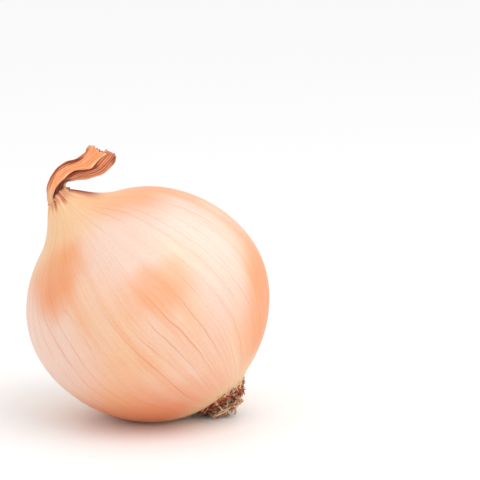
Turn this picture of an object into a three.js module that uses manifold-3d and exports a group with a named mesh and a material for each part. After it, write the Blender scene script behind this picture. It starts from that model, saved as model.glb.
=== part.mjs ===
// A dry yellow onion, as picked and cured: a round bulb in its papery skin, with two withered leaves at
// the neck, and at the base a torn rim of skin, the root plate and a tuft of dead roots.
// It lies leaning on a small flat spot. Millimetres, +Z up, origin at the middle of that spot.
// The onion is drawn upright about its own axis, neck up, and one group then leans it over to -X.

import * as THREE from "three";
import { mergeVertices } from "three/addons/utils/BufferGeometryUtils.js";
import Module from "manifold-3d";

const wasm = await Module();
wasm.setup();

// ---- Driving dimensions, in millimetres, with angles in radians ----

const gap = 0.3; // clearance between pieces that touch
const lean = THREE.MathUtils.degToRad(38.5); // of the onion's axis from upright, towards -X

// bulb: heights are measured along the axis from its widest circle
const bulbRadius = 39;
const crownHeight = 37; // where the upper half of the body would close
const baseHeight = 39; // where the lower half of the body would close
const shoulderHeight = 33.4; // where the body starts to draw in to the neck
const shoulderReach = 6.5; // how far the body's curve carries on into the shoulder
const neckHeight = 44.2;
const neckRadius = 3.9;
const neckReach = 2.4; // how far the neck's cone runs down towards the shoulder
const neckFlare = 2.6; // and how much wider it gets on the way
const neckPinch = 0.25; // share by which the neck is flatter from side to side
const neckFolds = 10; // pleats of the skin where it gathers at the neck
const foldDepth = 0.3;
const sway = 1.1; // sideways bend of the axis inside the bulb
const lobes = 3; // soft swellings round the bulb
const lobeDepth = 0.25;
const bulbSides = 60;
const bulbStepsPerArc = 7;

const restSpotRadius = 8; // the flat that the bulb lies on

// torn rim of skin round the root plate
const rimRadius = 10.4;
const rimInnerRadius = 8.3;
const rimDrop = 2.4; // how far it stands below the bulb
const rimTeeth = 11;
const rimToothDepth = 0.45;

// root plate
const plateThickness = 2.2;
const plateDome = 0.8;

// roots
const rootCount = 30;
const rootRadius = 0.52;
const rootTaper = 0.35; // share of the radius lost by the tip
const rootLengths = [3.2, 5.0]; // shortest and longest
const rootSpread = 0.05; // share by which the tuft widens, per millimetre of depth
const rootTwist = 0.06; // turn of the tuft about the axis, per millimetre of depth
const rootSag = 0.09; // bend of the whole tuft towards -X, per millimetre of depth squared
const rootCrook = 0.09; // size of each root's own wave at the tip, as a share of its length
const rootWaves = [1.4, 1.8]; // turn of that wave from bend to bend, along X and along Y
const rootBends = 5;
const rootSides = 6;
const rootStep = 0.7; // length of one step along a root
const rootMargin = 0.9; // from the outermost root to the plate's edge

// withered leaves of the neck
const leafThickness = 1.9; // across their broad face
const outerLeafSeat = -0.49; // where it leaves the neck, as a share of the neck's radius
const innerLeafSeat = 0.44;
const outerLeafWidths = [3.1, 3.0, 3.7, 4.2, 5.6, 6.0]; // from the bulb to the tip
const innerLeafWidths = [2.4, 1.8, 2.3, 2.6, 3.3, 4.3];
const leafSides = 12;
const leafSteps = 12;

// ---- Shared shapes ----

// A mesh geometry as a solid that can be cut.
function solidOf(geometry) {
  const bare = new THREE.BufferGeometry().setIndex(geometry.index);
  bare.setAttribute("position", geometry.getAttribute("position"));
  const welded = mergeVertices(bare, 1e-3);
  return new wasm.Manifold(
    new wasm.Mesh({
      numProp: 3,
      vertProperties: welded.attributes.position.array,
      triVerts: new Uint32Array(welded.index.array),
    }),
  );
}

function geometryOf(solid) {
  const mesh = solid.getMesh();
  const geometry = new THREE.BufferGeometry();
  geometry.setAttribute("position", new THREE.BufferAttribute(mesh.vertProperties, 3));
  geometry.setIndex(new THREE.BufferAttribute(mesh.triVerts, 1));
  geometry.computeVertexNormals();
  return geometry;
}

// Moves each vertex of a geometry by a function that changes the vector it is given.
function reshape(geometry, move) {
  const position = geometry.getAttribute("position");
  const point = new THREE.Vector3();
  for (let i = 0; i < position.count; i++) {
    point.fromBufferAttribute(position, i);
    move(point);
    position.setXYZ(i, point.x, point.y, point.z);
  }
  geometry.computeVertexNormals();
  return geometry;
}

// A profile of radius against height, turned about the Z axis.
function turned(path, steps, sides) {
  return new THREE.LatheGeometry(path.getPoints(steps), sides).rotateX(Math.PI / 2);
}

// A closed rod with an oval section that follows a curve. The half widths are functions of the share
// of the length: one along the curve's binormal, one along its normal.
function rod(curve, sides, steps, halfWidth, halfDepth) {
  const geometry = new THREE.CylinderGeometry(1, 1, 1, sides, steps);
  const frames = curve.computeFrenetFrames(steps, false);
  return reshape(geometry, (point) => {
    const step = Math.round((point.y + 0.5) * steps);
    const share = step / steps;
    const across = point.x * halfWidth(share);
    const through = point.z * halfDepth(share);
    point.copy(curve.getPointAt(share));
    point.addScaledVector(frames.binormals[step], across);
    point.addScaledVector(frames.normals[step], through);
  });
}

// A curve that leaves its seat in a straight line, so that its end sits flat, and then runs on smoothly.
function seated(places) {
  const curve = new THREE.CurvePath();
  curve.add(new THREE.LineCurve3(places[0], places[1]));
  curve.add(new THREE.CatmullRomCurve3(places.slice(1)));
  return curve;
}

// A smooth run through evenly spaced values.
function along(values) {
  const curve = new THREE.SplineCurve(values.map((value, i) => new THREE.Vector2(i, value)));
  return (share) => curve.getPoint(share).y;
}

function piece(name, geometry, colour, roughness) {
  const material = new THREE.MeshStandardMaterial({ color: colour, roughness, metalness: 0 });
  const mesh = new THREE.Mesh(geometry, material);
  mesh.name = name;
  return mesh;
}

// ---- The bulb ----

// Radius of the lower half of the body at a depth below the widest circle, and the other way round.
const baseDepthAt = (radius) => baseHeight * Math.sqrt(1 - (radius / bulbRadius) ** 2);
const seatDepth = baseDepthAt(rimInnerRadius); // the flat that the root plate grows from

function bulbShape() {
  const seatAngle = -Math.asin(seatDepth / baseHeight);
  const shoulderAngle = Math.asin(shoulderHeight / crownHeight);
  const shoulder = new THREE.Vector2(bulbRadius * Math.cos(shoulderAngle), shoulderHeight);
  const heading = new THREE.Vector2(
    -bulbRadius * Math.sin(shoulderAngle),
    crownHeight * Math.cos(shoulderAngle),
  ).normalize();

  const path = new THREE.Path();
  path.moveTo(0, -seatDepth);
  path.lineTo(rimInnerRadius, -seatDepth);
  path.absellipse(0, 0, bulbRadius, baseHeight, seatAngle, 0, false);
  path.absellipse(0, 0, bulbRadius, crownHeight, 0, shoulderAngle, false);
  path.bezierCurveTo(
    shoulder.x + heading.x * shoulderReach,
    shoulder.y + heading.y * shoulderReach,
    neckRadius + neckFlare,
    neckHeight - neckReach,
    neckRadius,
    neckHeight,
  );
  path.lineTo(0, neckHeight);

  // The lobes fade out towards both ends, and the axis sways between them. The pleats and the pinch
  // come in from the shoulder up.
  return reshape(turned(path, bulbStepsPerArc, bulbSides), (point) => {
    const radius = Math.hypot(point.x, point.y);
    const angle = Math.atan2(point.y, point.x);
    const fullness = radius / bulbRadius;
    const gathering = THREE.MathUtils.smoothstep(point.z, shoulderHeight, neckHeight);
    const lobe = lobeDepth * fullness ** 2 * Math.cos(lobes * angle);
    const fold = foldDepth * gathering * Math.cos(neckFolds * angle);
    const swelling = 1 + lobe / bulbRadius + fold / neckRadius;
    point.x = point.x * swelling - sway * Math.sin((Math.PI * point.z) / neckHeight) * fullness;
    point.y *= swelling * (1 - neckPinch * gathering);
  });
}

// Where the onion's own frame has to go for the middle of the flat spot to be at the origin.
function restingPlace(shape) {
  const leaning = solidOf(shape.clone().rotateY(-lean));
  const spotDepth = bulbRadius - Math.sqrt(bulbRadius ** 2 - restSpotRadius ** 2);
  const floor = leaning.boundingBox().min[2] + spotDepth;
  const spot = leaning.slice(floor).bounds();
  return new THREE.Vector3(-(spot.min[0] + spot.max[0]) / 2, 0, -floor);
}

// Takes away what is below the surface that the onion lies on.
function flattened(shape, onionToWorld) {
  const size = 4 * bulbRadius;
  const below = new THREE.BoxGeometry(size, size, size).translate(0, 0, -size / 2);
  below.applyMatrix4(onionToWorld.clone().invert());
  return geometryOf(solidOf(shape).subtract(solidOf(below)));
}

// ---- The base: torn rim, root plate and roots ----

function tornRim() {
  const underside = -baseDepthAt(rimRadius) - gap;
  const foot = -seatDepth - rimDrop;
  const path = new THREE.Path();
  path.moveTo(rimInnerRadius, -seatDepth - gap);
  path.lineTo(rimInnerRadius + gap, foot);
  path.quadraticCurveTo(rimRadius + gap, (underside + foot) / 2, rimRadius, underside);
  path.lineTo(rimInnerRadius, -seatDepth - gap);
  return reshape(turned(path, 3, rimTeeth * 4), (point) => {
    const drop = (-seatDepth - gap - point.z) / (rimDrop - gap);
    const tooth = Math.cos(rimTeeth * Math.atan2(point.y, point.x));
    point.z += rimToothDepth * tooth * Math.max(0, drop);
  });
}

const plateRadius = rimInnerRadius - gap;
const plateFace = seatDepth + gap + plateThickness; // depth of the plate's edge below the widest circle

function rootPlate() {
  const path = new THREE.Path();
  path.moveTo(0, -plateFace - plateDome);
  path.quadraticCurveTo(plateRadius / 2, -plateFace - plateDome, plateRadius, -plateFace);
  path.lineTo(plateRadius, -seatDepth - gap);
  path.lineTo(0, -seatDepth - gap);
  return turned(path, 4, 32);
}

// One place in the tuft, by its distance from the axis and angle at the plate, and its depth below it.
// Every root follows this one flow, so that neighbours never meet.
function inTuft(radius, angle, depth) {
  const spread = radius * (1 + rootSpread * depth);
  const turn = angle + rootTwist * depth;
  const dome = plateDome * (1 - (radius / plateRadius) ** 2);
  return new THREE.Vector3(
    spread * Math.cos(turn) - rootSag * depth ** 2,
    spread * Math.sin(turn),
    -plateFace - dome - gap - depth,
  );
}

// How deep a root can reach before it meets the surface that the onion lies on.
function reachAboveGround(radius, angle, wanted, onionToWorld) {
  let depth = wanted;
  while (inTuft(radius, angle, depth).applyMatrix4(onionToWorld).z < rootRadius) depth -= 0.1;
  return depth;
}

function root(index, onionToWorld) {
  const goldenAngle = Math.PI * (3 - Math.sqrt(5));
  const share = (index + 0.5) / rootCount;
  const radius = (plateRadius - rootMargin) * Math.sqrt(share);
  const angle = index * goldenAngle;
  const wanted = THREE.MathUtils.lerp(rootLengths[0], rootLengths[1], (Math.sin(index * 2.3) + 1) / 2);
  const length = reachAboveGround(radius, angle, wanted, onionToWorld);

  const seat = inTuft(radius, angle, 0);
  const places = [seat, seat.clone().setZ(seat.z - length / rootBends)];
  for (let i = 2; i <= rootBends; i++) {
    const place = inTuft(radius, angle, (length * i) / rootBends);
    const crook = (rootCrook * length * (i - 1)) / (rootBends - 1);
    place.x += crook * Math.sin(i * rootWaves[0] + index);
    place.y += crook * Math.cos(i * rootWaves[1] + index * 1.7);
    places.push(place);
  }
  const steps = Math.max(2, Math.round(length / rootStep));
  const thickness = (share) => rootRadius * (1 - rootTaper * share);
  return rod(seated(places), rootSides, steps, thickness, thickness);
}

// ---- The neck: two withered leaves that leave the bulb together and fold over towards +X ----

// Each is drawn in the plane of the lean, outwards from its own seat on the neck.
function leaf(seat, points, widths, side) {
  const widthAt = along(widths);
  const depth = (side * (leafThickness + gap)) / 2;
  const places = points.map(
    ([out, height]) => new THREE.Vector3(seat * neckRadius + out, depth, neckHeight + height),
  );
  return rod(
    seated(places),
    leafSides,
    leafSteps,
    (share) => widthAt(share) / 2,
    () => leafThickness / 2,
  );
}

function outerLeaf() {
  const points = [
    [0, gap],
    [0, 0.9],
    [1.4, 2.5],
    [4.5, 4.1],
    [8.1, 4.9],
    [11.7, 4.4],
    [15.3, 3.0],
    [18.5, 2.9],
    [22.1, 3.4],
  ];
  return leaf(outerLeafSeat, points, outerLeafWidths, -1);
}

function innerLeaf() {
  const points = [
    [0, gap],
    [0, 0.8],
    [1.5, 2.0],
    [4.3, 2.2],
    [7.0, 1.2],
    [9.6, -0.2],
    [12.2, -1.3],
    [15.3, -1.7],
    [19.3, -1.3],
  ];
  return leaf(innerLeafSeat, points, innerLeafWidths, 1);
}

// ---- Assembly ----

const bulbWhole = bulbShape();
const onion = new THREE.Group();
onion.rotation.y = -lean;
onion.position.copy(restingPlace(bulbWhole));
onion.updateMatrixWorld(true);

onion.add(piece("bulb", flattened(bulbWhole, onion.matrixWorld), 0xf0b078, 0.4));
onion.add(piece("neck_outer_leaf", outerLeaf(), 0xd98f5a, 0.7));
onion.add(piece("neck_inner_leaf", innerLeaf(), 0xb9683c, 0.7));
onion.add(piece("torn_skin_rim", tornRim(), 0x9a5230, 0.75));
onion.add(piece("root_plate", rootPlate(), 0x7a5236, 0.9));
for (let i = 0; i < rootCount; i++) {
  const name = `root_${String(i + 1).padStart(2, "0")}`;
  onion.add(piece(name, root(i, onion.matrixWorld), 0xc9b08a, 0.85));
}

const part = new THREE.Group();
part.add(onion);
export default part;
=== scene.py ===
# %% [markdown]
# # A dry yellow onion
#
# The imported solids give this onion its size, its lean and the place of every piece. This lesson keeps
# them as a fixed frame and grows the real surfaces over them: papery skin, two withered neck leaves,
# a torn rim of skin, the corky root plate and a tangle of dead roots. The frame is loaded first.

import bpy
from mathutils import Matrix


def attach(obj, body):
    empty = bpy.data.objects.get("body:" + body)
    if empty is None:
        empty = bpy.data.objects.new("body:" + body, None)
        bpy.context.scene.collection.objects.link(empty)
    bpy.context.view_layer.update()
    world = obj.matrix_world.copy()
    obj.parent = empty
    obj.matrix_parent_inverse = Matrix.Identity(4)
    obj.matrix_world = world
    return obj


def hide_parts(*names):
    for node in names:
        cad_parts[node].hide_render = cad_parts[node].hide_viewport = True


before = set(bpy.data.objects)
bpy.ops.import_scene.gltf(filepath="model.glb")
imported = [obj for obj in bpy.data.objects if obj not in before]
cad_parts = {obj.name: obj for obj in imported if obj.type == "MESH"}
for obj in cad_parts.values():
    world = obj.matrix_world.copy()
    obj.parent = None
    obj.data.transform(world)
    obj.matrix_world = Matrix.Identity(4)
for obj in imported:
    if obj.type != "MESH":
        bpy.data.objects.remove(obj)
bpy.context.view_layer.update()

# %% Tools
import math

import bpy
import numpy as np
from mathutils import Vector

MM = 0.001
scene = bpy.context.scene

# %% [markdown]
# ## The onion's own frame
#
# An onion is a turned shape, but it lies over on its side. Its surfaces are much easier to describe
# upright, about their own axis, in millimetres: z runs from the roots up to the neck, x to the side
# that the neck leans away from, y to the back. The function `placed` carries upright points to their
# real place. The axis passes through the root plate, so the plate says where it is.

# %% Upright frame
LEAN = math.radians(38.5)
BULB_RADIUS = 39.0
CROWN_HEIGHT = 37.0
BASE_HEIGHT = 39.0
SEAT_RADIUS = 8.3
GAP = 0.3
SEAT_DEPTH = BASE_HEIGHT * math.sqrt(1 - (SEAT_RADIUS / BULB_RADIUS) ** 2)

SIDE = np.array([math.cos(LEAN), 0.0, math.sin(LEAN)])
BACK = np.array([0.0, 1.0, 0.0])
AXIS = np.array([-math.sin(LEAN), 0.0, math.cos(LEAN)])


def middle_of_widest_circle():
    """Its place in metres, from the top face of the root plate's solid."""
    plate = np.array([v.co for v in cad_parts["root_plate"].data.vertices])
    rise = plate @ AXIS
    top = plate[rise > rise.max() - 0.01 * MM]
    across = top @ SIDE
    foot = (across.min() + across.max()) / 2 * SIDE + rise.max() * AXIS
    return foot + (SEAT_DEPTH + GAP) * MM * AXIS


CENTRE = middle_of_widest_circle()


def placed(upright):
    """Upright millimetres to real metres."""
    upright = np.asarray(upright, float)
    x, y, z = upright[..., :1], upright[..., 1:2], upright[..., 2:]
    return CENTRE + MM * (x * SIDE + y * BACK + z * AXIS)


print("widest circle's middle, mm:", np.round(CENTRE / MM, 3))

# %% [markdown]
# ## Smooth irregular shapes
#
# Nothing on an onion repeats. A few seeded cosine waves added together give a relief that is smooth,
# never regular, closes up round the axis, and is the same on each run. `smoothstep` fades a detail in.

# %% Waves
def smoothstep(value, start, end):
    share = np.clip((value - start) / (end - start), 0, 1)
    return share * share * (3 - 2 * share)


def waves(seed, around, along, turn, rise, terms=14):
    """About -1 to 1. around and along: lowest and highest count of waves in each direction."""
    rng = np.random.default_rng(seed)
    total = 0
    for _ in range(terms):
        count = rng.integers(around[0], around[1] + 1)
        climb = rng.uniform(*along) * rng.choice((-1, 1))
        total = total + np.cos(count * turn + climb * rise + rng.uniform(0, 2 * math.pi))
    return total / math.sqrt(terms)


def smooth_line(points, steps):
    """A curve through the given points, as evenly spaced points along it."""
    points = np.array(points, float)
    padded = np.vstack([2 * points[0] - points[1], points, 2 * points[-1] - points[-2]])
    fine = []
    for i in range(len(points) - 1):
        a, b, c, d = padded[i : i + 4]
        t = np.linspace(0, 1, 24, endpoint=False)[:, None]
        bend = (2 * a - 5 * b + 4 * c - d) * t**2 + (3 * b - a - 3 * c + d) * t**3
        fine.append(b + ((c - a) * t + bend) / 2)
    fine = np.vstack(fine + [points[-1:]])
    length = np.concatenate([[0], np.cumsum(np.linalg.norm(np.diff(fine, axis=0), axis=1))])
    even = np.linspace(0, length[-1], steps)
    return np.stack([np.interp(even, length, column) for column in fine.T], -1)


# %% [markdown]
# ## From points to a piece
#
# Every surface here is a net of points: rows one way, columns the other. `net_faces` joins the net
# into four-sided faces, and closes it round when the last column meets the first. `make_piece` turns
# points into a mesh object, and can keep a number on each point, such as how deep it lies in a crease,
# for its material to read. `finish_piece` gives the piece its material and tells the frame about it.

# %% Nets and pieces
def net_faces(rows, columns, closed=False, first=0):
    last = columns if closed else columns - 1
    faces = []
    for r in range(rows - 1):
        for c in range(last):
            here = first + r * columns
            beside = (c + 1) % columns
            faces.append((here + c, here + beside, here + columns + beside, here + columns + c))
    return faces


def net_normals(net, closed=False):
    """The outward direction at each point of a net."""
    if closed:
        along_row = np.roll(net, -1, 1) - np.roll(net, 1, 1)
    else:
        along_row = np.gradient(net, axis=1)
    normal = np.cross(along_row, np.gradient(net, axis=0))
    return normal / np.maximum(np.linalg.norm(normal, axis=-1, keepdims=True), 1e-12)


def make_piece(name, points, faces, marks=None, keep_above=None):
    real = placed(np.reshape(points, (-1, 3)))
    if keep_above is not None:
        real[:, 2] = np.maximum(real[:, 2], keep_above)
    mesh = bpy.data.meshes.new(name)
    mesh.from_pydata(real.tolist(), [], faces)
    mesh.shade_smooth()
    for mark, values in (marks or {}).items():
        layer = mesh.attributes.new(mark, "FLOAT", "POINT")
        layer.data.foreach_set("value", np.ravel(values).astype(np.float32))
    piece = bpy.data.objects.new(name, mesh)
    scene.collection.objects.link(piece)
    print(name, len(mesh.vertices), "points,", len(mesh.polygons), "faces")
    return piece


def thicken(piece, thickness):
    """Gives an open sheet its real thickness, on its inner side."""
    solid = piece.modifiers.new("thickness", "SOLIDIFY")
    solid.thickness = thickness * MM
    solid.offset = -1


def finish_piece(piece, material, slot, *nodes):
    piece.data.materials.append(material)
    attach(piece, "root")
    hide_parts(*nodes)


# %% [markdown]
# ## Small helpers for materials
#
# A material is a tree of nodes. `add` makes one node and fills its inputs: a number or colour is set,
# a socket is linked. `new_group` starts a shared effect with named inputs and outputs.

# %% Node helpers
def add(tree, kind, inputs=None, **settings):
    node = tree.nodes.new("ShaderNode" + kind)
    for name, value in settings.items():
        setattr(node, name, value)
    for name, value in (inputs or {}).items():
        if isinstance(value, bpy.types.NodeSocket):
            tree.links.new(value, node.inputs[name])
        else:
            node.inputs[name].default_value = value
    return node


def maths(tree, operation, first, second=0.0):
    return add(tree, "Math", {0: first, 1: second}, operation=operation).outputs[0]


def blend(tree, amount, first, second, way="MIX"):
    """Mixes two colours."""
    node = add(tree, "Mix", data_type="RGBA", blend_type=way)
    sockets = {0: amount, 6: first, 7: second}
    for place, value in sockets.items():
        if isinstance(value, bpy.types.NodeSocket):
            tree.links.new(value, node.inputs[place])
        else:
            node.inputs[place].default_value = value
    return node.outputs[2]


def fade(tree, value, start, end, low=0.0, high=1.0):
    """Runs smoothly from low to high as value goes from start to end."""
    inputs = {"Value": value, "From Min": start, "From Max": end, "To Min": low, "To Max": high}
    return add(tree, "MapRange", inputs, interpolation_type="SMOOTHSTEP").outputs["Result"]


def new_group(name, inputs, outputs):
    tree = bpy.data.node_groups.new(name, "ShaderNodeTree")
    for label, kind, value in inputs:
        socket = tree.interface.new_socket(label, in_out="INPUT", socket_type="NodeSocket" + kind)
        if value is not None:
            socket.default_value = value
    for label, kind in outputs:
        tree.interface.new_socket(label, in_out="OUTPUT", socket_type="NodeSocket" + kind)
    return tree, tree.nodes.new("NodeGroupInput").outputs, tree.nodes.new("NodeGroupOutput").inputs


def use_group(tree, group, inputs):
    node = tree.nodes.new("ShaderNodeGroup")
    node.node_tree = group
    for name, value in inputs.items():
        if isinstance(value, bpy.types.NodeSocket):
            tree.links.new(value, node.inputs[name])
        else:
            node.inputs[name].default_value = value
    return node.outputs


def colour(red, green, blue):
    """An sRGB colour, 0 to 255, as the linear colour that nodes use."""
    linear = []
    for value in (red, green, blue):
        share = value / 255
        linear.append(share / 12.92 if share <= 0.04045 else ((share + 0.055) / 1.055) ** 2.4)
    return (*linear, 1.0)


def new_material(name, roughness, specular=0.5):
    """An empty tree with its Principled shader, and the point on the surface in metres."""
    material = bpy.data.materials.new(name)
    material.use_nodes = True
    tree = material.node_tree
    shader = tree.nodes["Principled BSDF"]
    shader.inputs["Roughness"].default_value = roughness
    shader.inputs["Specular IOR Level"].default_value = specular
    place = tree.nodes.new("ShaderNodeTexCoord").outputs["Object"]
    return material, tree, shader, place


# %% [markdown]
# ## Shared effects
#
# Four effects run through all the finishes. *Onion directions* turns a point into the onion's own
# terms: how far round the axis, how high, and a direction from the middle. *Fibre lines* draws the fine
# veins that run from root to neck. They could be stripes of a wave texture, but those come out straight
# and even, so the lines here are spaced by the turn round the axis and pushed about by noise. *Blotches*
# are soft clouds of a second colour. *Patch* is one broad soft spot that faces a given way: on the skin
# some patches are its own tone, such as where it has tanned, and others are painted highlight,
# painted reflection and painted shade.

# %% Onion directions
directions, put, out = new_group(
    "Onion directions",
    [("Place", "Vector", None)],
    [("Turn", "Float"), ("Height", "Float"), ("Ring", "Vector"), ("Outward", "Vector")],
)
away = add(directions, "VectorMath", {0: put["Place"], 1: tuple(CENTRE)}, operation="SUBTRACT")
upright_place = add(
    directions,
    "VectorRotate",
    {"Vector": away.outputs[0], "Axis": (0, 1, 0), "Angle": LEAN},
    rotation_type="AXIS_ANGLE",
)
parts = add(directions, "SeparateXYZ", {0: upright_place.outputs[0]}).outputs
angle = maths(directions, "ARCTAN2", parts["Y"], parts["X"])
turn = maths(directions, "DIVIDE", angle, 2 * math.pi)
height = maths(directions, "DIVIDE", parts["Z"], BULB_RADIUS * MM)
cosine = maths(directions, "COSINE", angle)
sine = maths(directions, "SINE", angle)
ring = add(directions, "CombineXYZ", {"X": cosine, "Y": sine, "Z": height})
outward = add(directions, "VectorMath", {0: upright_place.outputs[0]}, operation="NORMALIZE")
directions.links.new(turn, out["Turn"])
directions.links.new(height, out["Height"])
directions.links.new(ring.outputs[0], out["Ring"])
directions.links.new(outward.outputs[0], out["Outward"])

# %% Fibre lines
fibre_lines, put, out = new_group(
    "Fibre lines",
    [
        ("Turn", "Float", 0.0),
        ("Ring", "Vector", None),
        ("Count", "Float", 40.0),
        ("Waver", "Float", 1.0),
        ("Width", "Float", 0.1),
        ("Gaps", "Float", 0.5),
    ],
    [("Mask", "Float")],
)
UNEVENLY = ((7, 7, 0), 0.2)
DRIFTING = ((1.9, 1.9, 1.1), 0.65)
TREMBLING = ((5, 5, 8), 0.06)
GAP_SOFTNESS = 0.12
pushed = 0.0
for fineness, amount in (UNEVENLY, DRIFTING, TREMBLING):
    source = add(fibre_lines, "VectorMath", {0: put["Ring"], 1: fineness}, operation="MULTIPLY")
    inputs = {"Vector": source.outputs[0], "Scale": 1.0, "Detail": 0.0}
    push = add(fibre_lines, "TexNoise", inputs).outputs[0]
    push = maths(fibre_lines, "MULTIPLY", maths(fibre_lines, "SUBTRACT", push, 0.5), amount)
    pushed = maths(fibre_lines, "ADD", maths(fibre_lines, "MULTIPLY", push, put["Waver"]), pushed)
step = maths(fibre_lines, "ADD", maths(fibre_lines, "MULTIPLY", put["Turn"], put["Count"]), pushed)
share = maths(fibre_lines, "FRACT", step)
from_line = maths(fibre_lines, "ABSOLUTE", maths(fibre_lines, "SUBTRACT", share, 0.5))
line = fade(fibre_lines, from_line, put["Width"], 0.0)
spread = add(fibre_lines, "VectorMath", {0: put["Ring"], 1: (11, 11, 1.5)}, operation="MULTIPLY")
strength = add(fibre_lines, "TexNoise", {"Vector": spread.outputs[0], "Scale": 1.0, "Detail": 2.0})
gap_start = maths(fibre_lines, "SUBTRACT", put["Gaps"], GAP_SOFTNESS)
gap_end = maths(fibre_lines, "ADD", put["Gaps"], GAP_SOFTNESS)
shown = fade(fibre_lines, strength.outputs[0], gap_start, gap_end)
fibre_lines.links.new(maths(fibre_lines, "MULTIPLY", line, shown), out["Mask"])

# %% Blotches
blotches, put, out = new_group(
    "Blotches",
    [
        ("Vector", "Vector", None),
        ("Scale", "Float", 60.0),
        ("Detail", "Float", 3.0),
        ("Start", "Float", 0.4),
        ("End", "Float", 0.6),
    ],
    [("Mask", "Float")],
)
cloud_inputs = {name: put[name] for name in ("Vector", "Scale", "Detail")}
cloud = add(blotches, "TexNoise", cloud_inputs)
blotches.links.new(fade(blotches, cloud.outputs[0], put["Start"], put["End"]), out["Mask"])

# %% Patch
patch, put, out = new_group(
    "Patch",
    [
        ("Outward", "Vector", None),
        ("Toward", "Vector", None),
        ("Edge", "Float", 0.6),
        ("Full", "Float", 0.95),
    ],
    [("Mask", "Float")],
)
EDGE_WANDER = 0.12
wander = add(patch, "TexNoise", {"Vector": put["Outward"], "Scale": 2.5, "Detail": 1.0})
facing = add(patch, "VectorMath", {0: put["Outward"], 1: put["Toward"]}, operation="DOT_PRODUCT")
shift = maths(patch, "MULTIPLY", maths(patch, "SUBTRACT", wander.outputs[0], 0.5), EDGE_WANDER)
near = maths(patch, "ADD", facing.outputs["Value"], shift)
patch.links.new(fade(patch, near, put["Edge"], put["Full"]), out["Mask"])
print("shared effects:", [group.name for group in bpy.data.node_groups])

# %% [markdown]
# ## The skin's material
#
# A cured onion's outer skin is dry, thin and slightly glossy: peach to golden, darker orange where it
# has tanned, yellower at the shoulder, and crossed by fine tan veins. The colour is built up in
# layers. First come clouds and streaks, then broad patches that each face their own way, a pale band
# down the front, and the two ends. Some of these are painted light: the pale patch on the upper right
# and the pale band are partly paler skin and partly painted highlight, the pale patch on the lower
# left limb is a painted reflection, and the amber patch underneath is painted shade. The veins and
# fibres come last, and raise the surface a little. The mesh says where the skin is creased: the
# valleys of its pleats and puckers are painted darker, which is painted shade, and the same mark darkens
# the torn root end and a few patches at the shoulder and the neck. The mesh also says where the skin
# has dried dark, and where it is darker along the top of the shoulder; the skin loses its gloss in both.

# %% Skin material
SKIN_PEACH = colour(240, 192, 152)
SKIN_ORANGE = colour(238, 156, 100)
SKIN_TAN = colour(236, 146, 86)
SKIN_CREAM = colour(238, 206, 190)
SKIN_PALE_HIGHLIGHT = colour(236, 208, 194)
SKIN_AMBER_SHADE = colour(224, 128, 76)
SKIN_GOLD = colour(240, 202, 150)
SKIN_VEIN = colour(212, 118, 70)
SKIN_RUST_SHADE = colour(190, 88, 50)
SKIN_DARK = colour(116, 44, 22)
SKIN_STRAW = colour(236, 200, 154)

skin, tree, shader, place = new_material("onion_skin", 0.42)
where = use_group(tree, directions, {"Place": place})
streaks = add(tree, "VectorMath", {0: where["Ring"], 1: (9, 9, 1.0)}, operation="MULTIPLY").outputs[0]
fibres = add(tree, "VectorMath", {0: where["Ring"], 1: (46, 46, 3.0)}, operation="MULTIPLY").outputs[0]

clouds = use_group(tree, blotches, {"Vector": place, "Scale": 38.0, "Start": 0.35, "End": 0.7})["Mask"]
tone = blend(tree, maths(tree, "MULTIPLY", clouds, 0.6), SKIN_PEACH, SKIN_CREAM)
streaky = use_group(tree, blotches, {"Vector": streaks, "Scale": 1.0, "Start": 0.42, "End": 0.72})["Mask"]
tone = blend(tree, maths(tree, "MULTIPLY", streaky, 0.4), tone, SKIN_ORANGE)


def tone_and_light_patch(tone, toward, edge, full, strength, dye):
    """Lays one soft patch of colour on the skin, on the side that faces toward. Some patches are the
    skin's own tone; others are painted highlight, painted reflection and painted shade.
    """
    direction = tuple(Vector(toward).normalized())
    inputs = {"Outward": where["Outward"], "Toward": direction, "Edge": edge, "Full": full}
    mask = use_group(tree, patch, inputs)["Mask"]
    return blend(tree, maths(tree, "MULTIPLY", mask, strength), tone, dye)


# pale patch on the upper right, where the sheen panel's reflection falls: partly paler skin, partly
# painted highlight
tone = tone_and_light_patch(tone, (0.38, -0.62, 0.69), 0.82, 1.0, 0.9, SKIN_PALE_HIGHLIGHT)
# pale patch on the lower left limb: painted reflection of the bright surroundings
tone = tone_and_light_patch(tone, (-0.8, -0.52, 0.25), 0.78, 0.98, 0.95, SKIN_CREAM)
tone = tone_and_light_patch(tone, (0.52, -0.76, -0.39), 0.84, 1.0, 0.3, SKIN_CREAM)
tone = tone_and_light_patch(tone, (0.14, -0.97, 0.16), 0.96, 1.02, 0.3, SKIN_ORANGE)
tone = tone_and_light_patch(tone, (0.4, -0.9, 0.16), 0.95, 1.03, 0.7, SKIN_ORANGE)
tone = tone_and_light_patch(tone, (-0.37, -0.54, 0.75), 0.91, 1.03, 0.95, SKIN_TAN)
tone = tone_and_light_patch(tone, (-0.55, -0.7, -0.4), 0.8, 1.0, 0.2, SKIN_ORANGE)
tone = tone_and_light_patch(tone, (0.78, 0.0, -0.62), 0.7, 0.98, 0.95, SKIN_TAN)
tone = tone_and_light_patch(tone, (0.95, 0.2, -0.25), 0.78, 1.0, 0.35, SKIN_ORANGE)
tone = tone_and_light_patch(tone, (0.6, -0.02, 0.8), 0.8, 1.0, 0.8, SKIN_ORANGE)
tone = tone_and_light_patch(tone, (0.3, 0.9, 0.3), 0.3, 0.95, 0.7, SKIN_ORANGE)
# darker amber patch on the underside, facing the floor: painted shade
tone = tone_and_light_patch(tone, (-0.5, -0.25, -0.82), 0.6, 1.0, 0.9, SKIN_AMBER_SHADE)
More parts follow.
